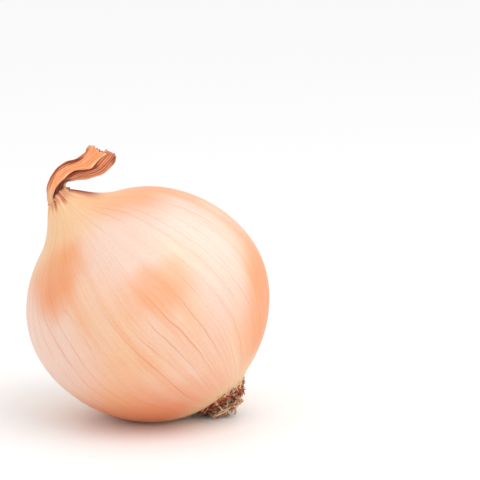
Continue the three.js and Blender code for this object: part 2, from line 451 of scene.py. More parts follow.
# pale band down the front, along the sheen: partly a paler skin layer, partly painted highlight
edge_wander = maths(tree, "MULTIPLY", streaky, 0.012)
slant = maths(tree, "MULTIPLY", where["Height"], -0.07)
along_band = maths(tree, "ADD", maths(tree, "ADD", where["Turn"], slant), edge_wander)
band_left = fade(tree, along_band, -0.185, -0.12)
band_right = fade(tree, along_band, -0.045, -0.08)
band = maths(tree, "MULTIPLY", band_left, band_right)
band = maths(tree, "MULTIPLY", band, fade(tree, where["Height"], -0.65, -0.2))
band = maths(tree, "MULTIPLY", band, fade(tree, where["Height"], 0.78, 0.5))
tone = blend(tree, maths(tree, "MULTIPLY", band, 0.75), tone, SKIN_PALE_HIGHLIGHT)
shoulder = fade(tree, where["Height"], 0.7, 0.98)
tone = blend(tree, maths(tree, "MULTIPLY", shoulder, 0.6), tone, SKIN_GOLD)
base_end = fade(tree, where["Height"], -0.76, -0.96)
tone = blend(tree, maths(tree, "MULTIPLY", base_end, 0.85), tone, SKIN_STRAW)

lines = {"Turn": where["Turn"], "Ring": where["Ring"]}
fine = use_group(tree, blotches, {"Vector": fibres, "Scale": 1.0, "Start": 0.3, "End": 0.7})["Mask"]
tone = blend(tree, maths(tree, "MULTIPLY", fine, 0.1), tone, SKIN_ORANGE)
specks = use_group(tree, blotches, {"Vector": place, "Scale": 1100.0, "Start": 0.4, "End": 0.7})["Mask"]
tone = blend(tree, maths(tree, "MULTIPLY", specks, 0.07), tone, SKIN_VEIN)
VEINS = {"Count": 44, "Waver": 2.6, "Width": 0.06, "Gaps": 0.48}
THREADS = {"Count": 150, "Waver": 7.0, "Width": 0.2, "Gaps": 0.5}
veins = use_group(tree, fibre_lines, {**lines, **VEINS})["Mask"]
threads = use_group(tree, fibre_lines, {**lines, **THREADS})["Mask"]
tone = blend(tree, maths(tree, "MULTIPLY", threads, 0.16), tone, SKIN_VEIN)
cover = use_group(tree, blotches, {"Vector": place, "Scale": 27.0, "Detail": 1.0})["Mask"]
veins = maths(tree, "MULTIPLY", veins, fade(tree, cover, 0.0, 1.0, 0.55, 1.0))
tone = blend(tree, maths(tree, "MULTIPLY", veins, 0.56), tone, SKIN_VEIN)

# crease mark: painted shade in the pleat and pucker valleys, plus darker patches at the shoulder, the
# neck front and the torn root end
crease_shade_and_stain = add(tree, "Attribute", attribute_name="crease_shade_and_stain").outputs["Fac"]
tone = blend(tree, maths(tree, "MULTIPLY", crease_shade_and_stain, 0.85), tone, SKIN_RUST_SHADE)
dryness = add(tree, "Attribute", attribute_name="dryness").outputs["Fac"]
tone = blend(tree, dryness, tone, SKIN_DARK)

relief = maths(tree, "ADD", maths(tree, "MULTIPLY", fine, 0.3), maths(tree, "MULTIPLY", veins, 0.3))
bump = add(tree, "Bump", {"Height": relief, "Strength": 0.35, "Distance": 0.1 * MM}).outputs[0]
gloss = fade(tree, fine, 0.0, 1.0, 0.37, 0.48)
tree.links.new(tone, shader.inputs["Base Color"])
tree.links.new(bump, shader.inputs["Normal"])
tree.links.new(gloss, shader.inputs["Roughness"])
tree.links.new(fade(tree, dryness, 0.0, 0.6, 0.5, 0.08), shader.inputs["Specular IOR Level"])
shader.inputs["Subsurface Weight"].default_value = 0.15
shader.inputs["Subsurface Radius"].default_value = (1.0, 0.45, 0.2)
shader.inputs["Subsurface Scale"].default_value = 1.5 * MM

# %% [markdown]
# ## The bulb
#
# The body is a turned shape: an oval below, a slightly flatter oval above, and a shoulder that draws
# in to the neck. Turning the bare outline would look like a lathe made it, so each point is then moved:
# three soft lobes, a sway of the axis, broad shallow dents, ribs under the skin, and pleats that deepen
# to the neck, where the skin gathers. The root end puckers, and its ring sits a little aside and tilts
# forward. At the top the skin ends in a thin ragged lip and turns down inside it, into a dark cup. What
# lies below the ground is pressed flat: the onion's resting spot.

# %% Bulb outline
SHOULDER_HEIGHT = 33.4
SHOULDER_REACH = 6.5
NECK_HEIGHT = 44.2
NECK_RADIUS = 3.9
NECK_REACH = 2.4
NECK_FLARE = 2.6
SKIRT_RADIUS = 13.0  # where the skin leaves the oval body and turns down round the roots
SKIRT = [
    (1.0, -38.2), (4.6, -38.2), (6.8, -38.3), (7.15, -39.5), (7.35, -40.3), (7.6, -40.6),
    (7.85, -40.3), (8.5, -39.4), (9.7, -38.4), (11.1, -37.6), (12.7, -36.9),
]


def bulb_outline():
    """Radius and height of each ring from the root end to the neck, in millimetres."""
    shoulder_angle = math.asin(SHOULDER_HEIGHT / CROWN_HEIGHT)
    skirt_angle = -math.acos(SKIRT_RADIUS / BULB_RADIUS)
    low = np.linspace(skirt_angle, 0, 72)[:-1]
    high = np.linspace(0, shoulder_angle, 58)
    seat = smooth_line(SKIRT, 36)
    body = [(BULB_RADIUS * math.cos(a), BASE_HEIGHT * math.sin(a)) for a in low]
    crown = [(BULB_RADIUS * math.cos(a), CROWN_HEIGHT * math.sin(a)) for a in high]
    start = np.array(crown[-1])
    inward = -BULB_RADIUS * math.sin(shoulder_angle)
    upward = CROWN_HEIGHT * math.cos(shoulder_angle)
    heading = np.array([inward, upward])
    heading /= np.linalg.norm(heading)
    knee = start + heading * SHOULDER_REACH
    throat = np.array([NECK_RADIUS + NECK_FLARE, NECK_HEIGHT - NECK_REACH])
    top = np.array([NECK_RADIUS, NECK_HEIGHT])
    t = np.linspace(0, 1, 60)[1:, None]
    gather = (1 - t) ** 3 * start + 3 * (1 - t) ** 2 * t * knee
    gather = gather + 3 * (1 - t) * t**2 * throat + t**3 * top
    return np.vstack([seat, body, crown, gather])


outline = bulb_outline()
print("outline:", len(outline), "rings")

# %% Bulb surface
BULB_COLUMNS = 420
LOBES = 3
LOBE_DEPTH = 0.25
NECK_FOLDS = 10
FOLD_DEPTH = 0.15
NECK_PINCH = 0.25
SWAY = 1.1
SKIRT_SHIFT = -1.5
ROOTS_DROOP = 1.15
ROOTS_FACE_FRONT = 1.8
LIP_RISE = 1.6
NECK_PUSH = 0.5


def root_tilt(angle, share=1.0):
    """How much nearer the roots the ring lies on this side: it droops and faces forward."""
    return share * (ROOTS_DROOP * np.cos(angle) + ROOTS_FACE_FRONT * np.sin(angle))


turn = np.linspace(0, 2 * math.pi, BULB_COLUMNS, endpoint=False)[None, :]
lip_height = 0.4 + 0.1 * waves(11, (3, 12), (0, 0), turn, 0)
lip_height = lip_height + LIP_RISE * smoothstep(np.cos(turn + 1.05), 0.35, 0.98)


def bulb_net():
    """The rings of the outline turned, and moved as the real skin is."""
    radius, rise = outline[:, :1], outline[:, 1:]
    fullness = radius / BULB_RADIUS
    gathering = smoothstep(rise, SHOULDER_HEIGHT, NECK_HEIGHT)
    rooting = smoothstep(-rise, 33.0, SEAT_DEPTH)
    near_base_edge = smoothstep(radius, SEAT_RADIUS - 1, SEAT_RADIUS + 1)
    skirt = smoothstep(-rise, 36.8, 40.2)
    lobe = LOBE_DEPTH * fullness**2 * np.cos(LOBES * turn)
    fold = FOLD_DEPTH * gathering * np.cos(NECK_FOLDS * turn)
    dents = 0.16 * fullness * waves(1, (2, 7), (0, 0.08), turn, rise)
    ribs = 0.035 * fullness * waves(2, (24, 52), (0, 0.03), turn, rise, 20)
    crumpled = 0.3 + 0.7 * smoothstep(np.cos(turn + 1.75), 0.5, 0.95)
    pleats = 0.5 * crumpled * gathering**4 * waves(3, (8, 26), (0, 0.12), turn, rise, 18)
    puckers = 0.11 * rooting * near_base_edge * waves(4, (22, 60), (0, 0.15), turn, rise, 18)
    relief = dents + ribs + pleats + puckers
    swelling = 1 + lobe / BULB_RADIUS + fold / NECK_RADIUS + relief / np.maximum(radius, NECK_RADIUS)
    x = radius * np.cos(turn) * swelling - SWAY * np.sin(math.pi * rise / NECK_HEIGHT) * fullness
    y = radius * np.sin(turn) * swelling * (1 - NECK_PINCH * gathering)
    torn_edge = 0.35 * waves(5, (5, 40), (0, 0), turn, 0, 24) + root_tilt(turn)
    x = x + skirt * SKIRT_SHIFT - NECK_PUSH * gathering * smoothstep(-np.cos(turn), 0.1, 0.9)
    z = rise - skirt * torn_edge
    # the valleys of the pleats and folds near the neck, and of the puckers at the root end, are painted
    # darker: painted shade
    depth = crumpled * smoothstep(-(pleats + fold), 0, 0.2) * smoothstep(rise, 41.0, 43.4)
    depth = depth + 0.35 * smoothstep(-puckers - 0.03, 0, 0.15)
    depth = depth + 0.5 * smoothstep(-rise, 39.6, 40.3)
    # darker patch on the upper shoulder, on the side at turn 0.3
    shoulder_dark_patch = smoothstep(rise, 35, 40) * smoothstep(np.cos(turn - 0.3), 0.55, 0.9)
    rusty = smoothstep(rise, 42.2, 44.4) * smoothstep(np.cos(turn + 1.6), 0.2, 0.8)
    depth = np.maximum(depth, np.maximum(0.9 * shoulder_dark_patch, 0.5 * rusty))
    return np.stack([x, y, z], -1), depth


# each ring of the cup: its share of the neck's width, of the lip's height, and its drop
CUP_RINGS = (
    (1.02, 0.5, 0), (1.06, 1, 0), (0.99, 1.02, 0), (0.92, 0.6, 0.2),
    (0.86, 0, 0.9), (0.7, 0, 1.8), (0.4, 0, 2.4), (0.12, 0, 2.5),
)


def neck_cup(top_ring):
    """The lip's edge and the cup inside it, as further rings."""
    flare = smoothstep(np.cos(turn[0]), -0.9, -0.4)[:, None]
    rings = []
    for width, rise, drop in CUP_RINGS:
        spread = 1 + (width - 1) * (flare if width > 1 else 1)
        ring = top_ring * spread
        ring[:, 2] = top_ring[:, 2]
        ring[:, 2] += rise * lip_height[0] - drop
        rings.append(ring)
    return np.array(rings)


net, crease_shades_and_stains = bulb_net()
cup = neck_cup(net[-1])
bulb_points = np.concatenate([net, cup])
rows = len(bulb_points)
cup_rows = len(cup)
lip_shades_and_stains = np.repeat(crease_shades_and_stains[-1:], 2, 0)
crease_shades_and_stains = np.concatenate([crease_shades_and_stains, lip_shades_and_stains, np.ones((cup_rows - 2, BULB_COLUMNS))])
rise = bulb_points[..., 2]
frayed = waves(12, (4, 30), (0, 0.4), turn, rise, 18)
edge = rise + 0.5 * frayed - lip_height
dryness = smoothstep(edge, NECK_HEIGHT - 0.7, NECK_HEIGHT + 0.1) * 0.7
dryness = dryness * smoothstep(np.cos(turn), -0.6, -0.1)
# darker along the top of the shoulder on the same side, with less gloss
shoulder_dark_line = smoothstep(rise, 36.5, 41) * smoothstep(np.cos(turn - 0.3), 0.84, 0.95)
dryness = np.maximum(dryness, 0.8 * shoulder_dark_line)
dryness[-cup_rows + 2 :] = 1
faces = net_faces(rows, BULB_COLUMNS, closed=True)
faces.append(tuple(range(BULB_COLUMNS))[::-1])
faces.append(tuple(range((rows - 1) * BULB_COLUMNS, rows * BULB_COLUMNS)))
marks = {"crease_shade_and_stain": crease_shades_and_stains, "dryness": dryness}
bulb = make_piece("bulb_skin", bulb_points, faces, marks, keep_above=0.0)
finish_piece(bulb, skin, "skin", "bulb")

# %% [markdown]
# ## The withered leaves' material
#
# Above the neck the leaves have dried to ribbed straps: pale tan on the ribs, palest on their crests,
# orange between them, brown along the thread valleys and darkest in the grooves. The pale ribs and
# crests are partly the husk's own tone and partly painted highlight; the brown valleys are partly the
# husk's brown lines and partly painted shade; the dark grooves are painted shade, and so are strips of
# the inner leaf that lie in the outer leaf's shadow. The inner leaf is ruddier, and near the neck both
# still have the skin's colour. The ribs are real shape in the mesh, so the mesh carries each of these
# as a number, and the material paints by it: paint and shape always agree.

# %% Husk material
HUSK_TAN = colour(255, 220, 184)
HUSK_PALE = colour(255, 228, 198)
HUSK_ORANGE = colour(246, 166, 112)
HUSK_BROWN = colour(164, 70, 38)
HUSK_SHADE = colour(140, 48, 24)
HUSK_RUDDY = colour(214, 116, 70)

husk, tree, shader, place = new_material("withered_husk", 0.55, 0.35)
rib = add(tree, "Attribute", attribute_name="rib").outputs["Fac"]
painted_groove_shade = add(tree, "Attribute", attribute_name="painted_groove_shade").outputs["Fac"]
# paler on high ribs and palest on crests, partly the husk's tone and partly painted highlight; browner
# along the thread valleys, partly brown lines and partly painted shade
tone = blend(tree, fade(tree, rib, 0.5, 0.9), HUSK_ORANGE, HUSK_TAN)
crest = add(tree, "Attribute", attribute_name="crest").outputs["Fac"]
tone = blend(tree, maths(tree, "MULTIPLY", crest, 0.8), tone, HUSK_PALE)
valley_line_and_shade = add(tree, "Attribute", attribute_name="valley_line_and_shade").outputs["Fac"]
tone = blend(tree, maths(tree, "MULTIPLY", valley_line_and_shade, 0.85), tone, HUSK_BROWN)
clouds = use_group(tree, blotches, {"Vector": place, "Scale": 300.0, "Start": 0.45, "End": 0.7})["Mask"]
tone = blend(tree, maths(tree, "MULTIPLY", clouds, 0.2), tone, HUSK_ORANGE)
ruddy = add(tree, "Attribute", attribute_name="ruddy").outputs["Fac"]
tone = blend(tree, ruddy, tone, HUSK_RUDDY)
start = add(tree, "Attribute", attribute_name="start").outputs["Fac"]
tone = blend(tree, maths(tree, "MULTIPLY", start, 0.85), tone, SKIN_PEACH)
# painted shade: darkest in the grooves and where the outer leaf shades the inner one
tone = blend(tree, painted_groove_shade, tone, HUSK_SHADE)
grit = use_group(tree, blotches, {"Vector": place, "Scale": 2200.0, "Start": 0.3, "End": 0.7})["Mask"]
bump = add(tree, "Bump", {"Height": grit, "Strength": 0.4, "Distance": 0.06 * MM}).outputs[0]
tree.links.new(tone, shader.inputs["Base Color"])
tree.links.new(bump, shader.inputs["Normal"])

# %% [markdown]
# ## Two withered leaves
#
# Each leaf is a flattened sheath, folded along its outer edge and open along the other, that comes up
# out of the cup and falls over to the side. It could be a flat strip with a bend, but then it has one
# face and no inside. Here the section is half an oval, from the open edge in front, round the fold, to
# the open edge behind. Two lines, the fold and the open edge, carry that section along. Ribs and finer
# threads run the whole length, so they spread where the leaf widens. Deep grooves are pressed in where
# the leaf has shrunk most, and the far end bulges a little and is frayed. Shade is painted into the
# grooves and into some strips that have no groove at all, most of them on the inner leaf where the
# outer one shades it.

# %% Leaves
LEAF_ROWS = 130
LEAF_COLUMNS = 180
LEAF_SKIN = 0.22
LINE_STEPS = 400
NECK_TOP = 45.0
END_BULGE_SIDE = 0.9
END_BULGE_UP = 0.4


def between(value, low, high, soft):
    """1 from low to high, fading to 0 outside."""
    return smoothstep(value, low - soft, low + soft) * smoothstep(-value, -high - soft, -high + soft)


def withered_leaf(name, fold, open_edge, half_depths, offsets, seed, ruddiness, grooves):
    """grooves: each from start to end along the leaf, low to high across it, how deep, and how much
    painted shade it gets.
    """
    along = np.linspace(0, 1, LEAF_ROWS)[:, None]
    across = np.linspace(0, 1, LEAF_COLUMNS)[None, :]
    section = math.pi * across
    teeth = waves(seed + 1, (9, 20), (0, 0), 2 * section, 0)
    fray = 0.03 * np.abs(waves(seed, (2, 14), (0, 0), 2 * section, 0))
    fray = fray + 0.04 * smoothstep(teeth, 0.6, 1.3)
    reach = along * (1 - fray)
    samples = np.linspace(0, 1, LINE_STEPS)
    fold_line = smooth_line(fold, LINE_STEPS)
    open_line = smooth_line(open_edge, LINE_STEPS)
    places = np.linspace(0, 1, len(half_depths))
    half = np.interp(reach, places, half_depths)
    middle = np.interp(reach, places, offsets)
    lean_in = np.sin(section) ** 0.8
    edges = ((fold_line, lean_in), (open_line, 1 - lean_in))
    x = sum(np.interp(reach, samples, line[:, 0]) * share for line, share in edges)
    z = NECK_TOP + sum(np.interp(reach, samples, line[:, 1]) * share for line, share in edges)
    y = middle - half * np.cos(section)
    bulge = smoothstep(along, 0.75, 1) * np.sin(2 * section) ** 2
    x = x + END_BULGE_SIDE * bulge
    z = z + END_BULGE_UP * bulge
    net = np.stack([x, y, z], -1)
    ribs = waves(seed + 2, (9, 26), (0, 2.0), 2 * section, along, 18)
    threads = waves(seed + 4, (9, 18), (0, 2.0), 2 * section, along, 18)
    ribs = 0.7 * ribs + 0.5 * threads
    wrinkles = waves(seed + 3, (2, 9), (6, 30), 2 * section, along, 18)
    fading = smoothstep(along, 0, 0.12)
    relief = 0.26 * ribs * (0.5 + 0.5 * fading) + 0.15 * wrinkles * fading
    # each groove is pressed in by its depth and darkened by its shade amount, which is painted shade; a
    # groove with no depth is only painted shade
    painted_groove_shade = 0 * relief
    for start, end, low, high, depth, shade_amount in grooves:
        lengthwise = between(along, start, end, 0.04)
        crosswise = between(across, low, high, 0.02)
        relief = relief - depth * lengthwise * crosswise
        painted_groove_shade = np.maximum(painted_groove_shade, shade_amount * lengthwise * crosswise)
    net = net + relief[..., None] * net_normals(net)
    # rib, crest and valley marks follow the relief: paler on raised ribs and crests, browner in thread
    # valleys, partly real tone and lines, partly painted highlight and shade
    ribbed = np.clip(0.55 + 0.5 * ribs + 0.15 * wrinkles, 0, 1)
    young = smoothstep(-along, -0.42, -0.12) + 0 * across
    ruddy = ruddiness * smoothstep(along, 0.1, 0.3) + 0 * across
    marks = {"rib": ribbed, "painted_groove_shade": np.clip(painted_groove_shade, 0, 1), "start": young, "ruddy": ruddy}
    marks["valley_line_and_shade"] = smoothstep(-threads, 0.6, 1.5) * (0.3 + 0.7 * fading)
    marks["crest"] = smoothstep(threads + 0.5 * wrinkles, 0.4, 1.3) * (0.4 + 0.6 * fading)
    leaf = make_piece(name, net, net_faces(LEAF_ROWS, LEAF_COLUMNS), marks)
    thicken(leaf, LEAF_SKIN)
    return leaf


outer_leaf = withered_leaf(
    "neck_outer_husk",
    fold=[
        (-4.5, -2.8), (-4.1, -1.0), (-3.2, 0.8), (-1.1, 3.7), (1.6, 5.5),
        (4.8, 6.7), (8.5, 6.6), (12.3, 5.3), (15.6, 5.2), (17.4, 6.6),
    ],
    open_edge=[
        (-2.0, -2.8), (-1.8, -0.8), (-1.2, 1.0), (1.3, 2.6), (4.6, 3.2),
        (9.0, 3.2), (11.9, 1.5), (14.2, 0.4), (17.3, 1.0), (20.9, 1.0),
    ],
    half_depths=[2.0, 2.1, 1.7, 1.2, 1.0, 0.9, 0.8, 1.0],
    offsets=[0.0, -0.1, -0.3, -0.4, -0.4, -0.4, -0.4, -0.3],
    seed=40,
    ruddiness=0.0,
    grooves=[
        (0.66, 0.86, 0.31, 0.4, 0.55, 0.9),
        (0.5, 0.74, 0.36, 0.41, 0.3, 0.7),
        # no depth: only painted shade along the back half of the leaf
        (0.2, 1.1, 0.6, 1.1, 0, 0.6),
    ],
)
finish_piece(outer_leaf, husk, "husk", "neck_outer_leaf")
inner_leaf = withered_leaf(
    "neck_inner_husk",
    fold=[
        (2.9, -2.8), (3.0, 0.3), (4.2, 1.6), (5.7, 1.7), (8.3, 0.2),
        (11.8, -1.8), (14.4, -2.8), (17.6, -3.2), (20.0, -2.9), (22.0, -2.0),
    ],
    open_edge=[
        (-1.6, -2.8), (-1.2, 0.8), (0.6, 3.0), (4.5, 3.9), (8.4, 3.9),
        (11.7, 2.4), (14.6, 1.2), (18.0, 1.9), (21.6, 1.9),
    ],
    half_depths=[1.6, 1.3, 0.8, 0.7, 0.6, 0.6, 0.7, 0.9],
    offsets=[0.3, 0.3, 0.3, 0.2, 0.2, 0.2, 0.2, 0.2],
    seed=60,
    ruddiness=0.6,
    grooves=[
        # no depth: only painted shade where the outer leaf shades the inner one
        (-0.2, 0.36, -0.1, 0.3, 0, 0.85),
        (0.36, 0.8, -0.1, 0.12, 0, 0.8),
        (0.92, 1.2, 0.25, 0.6, 0, 0.6),
    ],
)
finish_piece(inner_leaf, husk, "husk", "neck_inner_leaf")

# %% [markdown]
# ## The torn rim's material
#
# Where the skins end round the roots they are torn, dry and stained: mostly a dark red brown, with
# straw-coloured shreds among it. Each shred carries its own tint, a number from 0, dark, to 1, straw.

# %% Torn skin material
TORN_DARK = colour(70, 28, 22)
TORN_RED = colour(196, 104, 68)
TORN_STRAW = colour(244, 222, 194)

torn, tree, shader, place = new_material("torn_skin", 0.7, 0.3)
tint = add(tree, "Attribute", attribute_name="tint").outputs["Fac"]
tone = blend(tree, fade(tree, tint, 0.0, 0.4), TORN_DARK, TORN_RED)
tone = blend(tree, fade(tree, tint, 0.45, 0.75), tone, TORN_STRAW)
clouds = use_group(tree, blotches, {"Vector": place, "Scale": 700.0, "Start": 0.5, "End": 0.66})["Mask"]
tone = blend(tree, maths(tree, "MULTIPLY", clouds, 0.7), tone, TORN_DARK)
grit = use_group(tree, blotches, {"Vector": place, "Scale": 2600.0, "Start": 0.3, "End": 0.7})["Mask"]
bump = add(tree, "Bump", {"Height": grit, "Strength": 0.5, "Distance": 0.08 * MM}).outputs[0]
tree.links.new(tone, shader.inputs["Base Color"])
tree.links.new(bump, shader.inputs["Normal"])

# %% [markdown]
# ## The torn rim
#
# The rim is a lumpy band with hundreds of small curled shreds on it. A band with a bumpy material
# would stay a smooth ring in outline, so every shred is a small sheet of its own. There are five
# kinds: straw-coloured fibres and thin dark slivers that lie up along the bulb, mixed ones that curl
# off the edge, red-brown ones that stand off the band, and dark ones that hang over the roots. The
# thin dark slivers stand in for the shade in the gaps between the pale fibres: they are painted shade.

# %% Shreds
SHRED_ROWS = 6
SHRED_COLUMNS = 4
SHRED_SKIN = 0.1
RIM_LUMP = 0.28


def shred(rng, angle, radius, depth, pitch, curl, length, width):
    """One torn sheet. pitch: 0 stands straight out from the axis, 90 degrees points at the roots."""
    outward = np.array([math.cos(angle), math.sin(angle), 0])
    sideways = np.array([-math.sin(angle), math.cos(angle), 0])
    rootward = np.array([0, 0, -1.0])
    middle = radius * outward + depth * rootward
    skew = rng.uniform(-0.6, 0.6)
    rows = []
    for step in range(SHRED_ROWS):
        share = step / (SHRED_ROWS - 1)
        breadth = width * (1 - 0.55 * share**2) / 2
        sides = np.linspace(-breadth, breadth, SHRED_COLUMNS)
        lift = rng.uniform(-0.07, 0.07, SHRED_COLUMNS)[:, None] * outward
        rag = rng.uniform(-0.12, 0.12, SHRED_COLUMNS)[:, None] * length * share
        rows.append(middle + sides[:, None] * sideways + lift + rag * rootward)
        bent = pitch + curl * share
        ahead = math.cos(bent) * outward + math.sin(bent) * rootward + skew * sideways
        middle = middle + ahead * length / (SHRED_ROWS - 1)
    return np.array(rows) + np.array([SKIRT_SHIFT, 0, 0])


def skin_depth(radius):
    """How far below the widest circle the outside of the skirt lies at this distance from the axis."""
    outside = np.array(SKIRT[5:])  # from the torn edge outwards
    return float(np.interp(radius, outside[:, 0], -outside[:, 1]))


def rim_band():
    """The lumpy torn edge under the shreds, closed round."""
    rim = [
        (7.6, -39.8), (7.9, -40.4), (7.8, -41.1), (7.3, -41.4),
        (6.8, -41.0), (6.7, -40.0), (6.9, -38.8),
    ]
    line = smooth_line(rim, 22)
    around = np.linspace(0, 2 * math.pi, 220, endpoint=False)[None, :]
    step = np.linspace(0, 1, len(line))[:, None]
    radius = line[:, :1] + RIM_LUMP * waves(21, (6, 46), (0, 9), around, step, 30)
    height = line[:, 1:] + RIM_LUMP * waves(22, (6, 40), (0, 9), around, step, 30)
    height = height - root_tilt(around)
    net = np.stack([radius * np.cos(around) + SKIRT_SHIFT, radius * np.sin(around), height], -1)
    tint = np.clip(0.3 + 0.25 * waves(23, (8, 50), (0, 9), around, step, 20), 0, 1)
    return net, tint


# %% Torn rim
# each kind: how many, radius, depth, pitch and curl in degrees, length, width, tint
SHREDS = (
    (120, (8.0, 10.6), None, (-42, -8), (-25, 20), (0.8, 2.6), (0.3, 0.9), (0.8, 1.0)),
    # thin dark slivers among the fibres: painted shade for the gaps between them
    (90, (7.9, 10.2), None, (-42, -12), (-20, 20), (0.6, 1.8), (0.15, 0.45), (0.0, 0.4)),
    (90, (7.7, 8.5), (39.2, 40.2), (-80, -10), (-40, 60), (0.6, 1.6), (0.5, 1.4), (0.3, 1.0)),
    (130, (7.3, 8.0), (40.0, 40.9), (-30, 60), (-60, 60), (0.5, 1.2), (0.6, 1.7), (0.1, 0.75)),
    (110, (6.5, 7.5), (40.8, 41.4), (40, 130), (-50, 80), (0.5, 1.2), (0.5, 1.3), (0.0, 0.6)),
)

rng = np.random.default_rng(5)
net, tint = rim_band()
points = [net.reshape(-1, 3)]
tints = [tint.ravel()]
faces = net_faces(*net.shape[:2], closed=True)
total = len(points[0])
for count, radii, depths, pitches, curls, lengths, widths, shades in SHREDS:
    for _ in range(count):
        radius = rng.uniform(*radii)
        angle = rng.uniform(0, 2 * math.pi)
        depth = skin_depth(radius) + 0.1 if depths is None else rng.uniform(*depths)
        depth += root_tilt(angle, 1.0 if depths else float(smoothstep(depth, 36.8, 40.2)))
        pitch = math.radians(rng.uniform(*pitches))
        curl = math.radians(rng.uniform(*curls))
        length = rng.uniform(*lengths)
        width = rng.uniform(*widths)
        sheet = shred(rng, angle, radius, depth, pitch, curl, length, width)
        faces += net_faces(SHRED_ROWS, SHRED_COLUMNS, first=total)
        points.append(sheet.reshape(-1, 3))
        tints.append(np.full(len(points[-1]), rng.uniform(*shades)))
        total += len(points[-1])
marks = {"tint": np.concatenate(tints)}
rim = make_piece("torn_rim_flakes", np.vstack(points), faces, marks, keep_above=0.25 * MM)
thicken(rim, SHRED_SKIN)
finish_piece(rim, torn, "torn_skin", "torn_skin_rim")

# %% [markdown]
# ## The root plate
#
# Under the torn rim sits the plate that the roots grow from: a low dome of dry, cracked, corky
# tissue. It is a small polar net, lifted and sunk by waves, and it tilts with the torn rim. A short
# wall under its edge closes it. The colour has clouds and grit of the same size as the lumps.

# %% Root plate
CORK_BROWN = colour(128, 88, 62)
CORK_DARK = colour(58, 34, 26)

cork, tree, shader, place = new_material("cork", 0.85, 0.2)
clouds = use_group(tree, blotches, {"Vector": place, "Scale": 700.0, "Start": 0.4, "End": 0.62})["Mask"]
tone = blend(tree, clouds, CORK_DARK, CORK_BROWN)
grit = use_group(tree, blotches, {"Vector": place, "Scale": 2400.0, "Start": 0.3, "End": 0.7})["Mask"]
bump = add(tree, "Bump", {"Height": grit, "Strength": 0.7, "Distance": 0.15 * MM}).outputs[0]
tree.links.new(tone, shader.inputs["Base Color"])
tree.links.new(bump, shader.inputs["Normal"])

PLATE_RADIUS = 7.5
PLATE_FACE = SEAT_DEPTH + GAP + 2.2
PLATE_DOME = 0.8
PLATE_SHRINK = 0.93

around = np.linspace(0, 2 * math.pi, 120, endpoint=False)[None, :]
radius = np.linspace(0.3, PLATE_RADIUS, 34)[:, None]
lumps = 0.28 * waves(31, (3, 22), (0, 2.0), around, radius, 24)
height = -PLATE_FACE - PLATE_DOME * (1 - (radius / PLATE_RADIUS) ** 2)
height = height + lumps * smoothstep(radius, 0.3, 3)
height = height - root_tilt(around, radius / PLATE_RADIUS)
plate_x = PLATE_SHRINK * radius * np.cos(around) + SKIRT_SHIFT
plate_y = PLATE_SHRINK * radius * np.sin(around)
dome = np.stack([plate_x, plate_y, height], -1)
wall = dome[-1:] + [[[0, 0, 1.2]]]
net = np.concatenate([dome, wall, wall + [[[0, 0, 1.0]]]])
faces = net_faces(len(net), net.shape[1], closed=True)
faces = [face[::-1] for face in faces] + [tuple(range(net.shape[1]))]
last_ring = (len(net) - 1) * net.shape[1]
faces.append(tuple(range(last_ring, last_ring + net.shape[1]))[::-1])
plate = make_piece("root_plate_cork", net, faces, keep_above=0.2 * MM)
finish_piece(plate, cork, "root_plate", "root_plate")

# %% [markdown]
# ## The roots' material
#
# Dead roots are matt, tan to grey, each with its own tint, and darker where they leave the plate.

# %% Root material
ROOT_TAN = colour(238, 200, 162)
ROOT_GREY = colour(178, 128, 98)
ROOT_DARK = colour(96, 58, 40)

root_skin, tree, shader, place = new_material("dead_root", 0.75, 0.3)
tint = add(tree, "Attribute", attribute_name="tint").outputs["Fac"]
tip = add(tree, "Attribute", attribute_name="tip").outputs["Fac"]
tone = blend(tree, tint, ROOT_GREY, ROOT_TAN)
clouds = use_group(tree, blotches, {"Vector": place, "Scale": 1300.0, "Start": 0.5, "End": 0.72})["Mask"]
tone = blend(tree, maths(tree, "MULTIPLY", clouds, 0.5), tone, ROOT_DARK)
tone = blend(tree, fade(tree, tip, 0.5, 0.05), tone, ROOT_DARK)
grit = use_group(tree, blotches, {"Vector": place, "Scale": 3200.0, "Start": 0.3, "End": 0.7})["Mask"]
bump = add(tree, "Bump", {"Height": grit, "Strength": 0.5, "Distance": 0.06 * MM}).outputs[0]
tree.links.new(tone, shader.inputs["Base Color"])
tree.links.new(bump, shader.inputs["Normal"])

# %% [markdown]
# ## The tangle of roots
#
# A trimmed, dried onion keeps a mat of short roots that leave the plate and at once curl sideways
# over each other. Each root here walks its own way: it starts straight down from the plate, wanders by
# seeded chance, turns back when it gets too deep, and is steered up when it comes near the ground. The
# walk is then swept with a small ring of points that thins to the tip.

# %% Roots
ROOT_COUNT = 115
ROOT_SIDES = 7
ROOT_STEP = 0.42
TUFT_DEPTH = 5.2
TUFT_RADIUS = 6.8
GROUND_CLEARANCE = 0.55
AWAY_FROM_GROUND = np.array([math.sin(LEAN), 0, math.cos(LEAN)])


